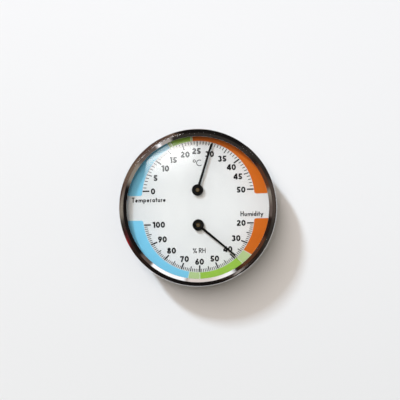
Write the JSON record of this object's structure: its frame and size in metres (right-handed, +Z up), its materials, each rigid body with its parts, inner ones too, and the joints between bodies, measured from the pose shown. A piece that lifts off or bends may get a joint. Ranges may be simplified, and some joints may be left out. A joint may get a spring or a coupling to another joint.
{
  "type": "wall dial thermometer and hygrometer",
  "caption": "Round wall instrument with a chrome ring, flat glass and a white dial that has a temperature scale above a humidity scale, each read by its own sprung pointer.",
  "frame": {"origin": "centre of the case's flat back, on the wall plane", "axes": "+Z up, +Y into the wall along the instrument's axis, so the dial faces -Y; +X to the viewer's right"},
  "size_m": [0.102, 0.0255, 0.102],
  "materials": {
    "case_plastic": "black, fine matt texture",
    "ring_chrome": "polished chrome plating",
    "seal_rubber": "soft black",
    "front_glass": "clear, flat and polished",
    "spacer_plastic": "black, satin",
    "dial_paint": "white, smooth matt, printed",
    "movement_brass": "stamped, dull",
    "turned_brass": "turned, bright",
    "screw_steel": "zinc plated",
    "spring_steel": "bright",
    "pointer_black": "black, satin",
    "bimetal": "rolled strip",
    "moisture_strip": "coated strip"
  },
  "bodies": {
    "case": {"case_shell": "case_plastic", "bezel_ring": "ring_chrome", "glass_seal": "seal_rubber", "front_glass": "front_glass", "spacer_ring": "spacer_plastic", "dial_plate": "dial_paint", "movement_plate": "movement_brass", "plate_screws": "screw_steel", "rear_bridge": "movement_brass", "bridge_pillars": "turned_brass", "thermo_bush": "turned_brass", "thermo_washer": "spring_steel", "hygro_bush": "turned_brass", "hygro_washer": "spring_steel"},
    "thermo_setting": {"thermo_adjuster": "turned_brass", "thermo_clip": "spring_steel", "thermo_coil": "bimetal", "thermo_rivet": "turned_brass"},
    "thermo_hand": {"thermo_pointer": "pointer_black", "thermo_bushing": "turned_brass", "thermo_spindle": "spring_steel", "thermo_collet": "turned_brass"},
    "hygro_setting": {"hygro_adjuster": "turned_brass", "hygro_clip": "spring_steel", "hygro_coil": "moisture_strip", "hygro_rivet": "turned_brass"},
    "hygro_hand": {"hygro_pointer": "pointer_black", "hygro_bushing": "turned_brass", "hygro_spindle": "spring_steel", "hygro_collet": "turned_brass"}
  },
  "joints": [
    {"name": "thermo_set", "type": "hinge", "parent": "case", "child": "thermo_setting", "pos_m": [0, 0, 0.01135], "axis": [0, 1, 0], "range_deg": [-10, 10]},
    {"name": "temperature", "type": "hinge", "parent": "thermo_setting", "child": "thermo_hand", "pos_m": [0, 0, 0.01135], "axis": [0, 1, 0], "range_deg": [-108, 72], "stiffness_Nm_per_rad": 0.0035, "deforming": ["thermo_coil"]},
    {"name": "hygro_set", "type": "hinge", "parent": "case", "child": "hygro_setting", "pos_m": [0, 0, -0.01135], "axis": [0, 1, 0], "range_deg": [-10, 10]},
    {"name": "humidity", "type": "hinge", "parent": "hygro_setting", "child": "hygro_hand", "pos_m": [0, 0, -0.01135], "axis": [0, 1, 0], "range_deg": [-40.5, 139.5], "stiffness_Nm_per_rad": 0.002, "deforming": ["hygro_coil"]}
  ]
}
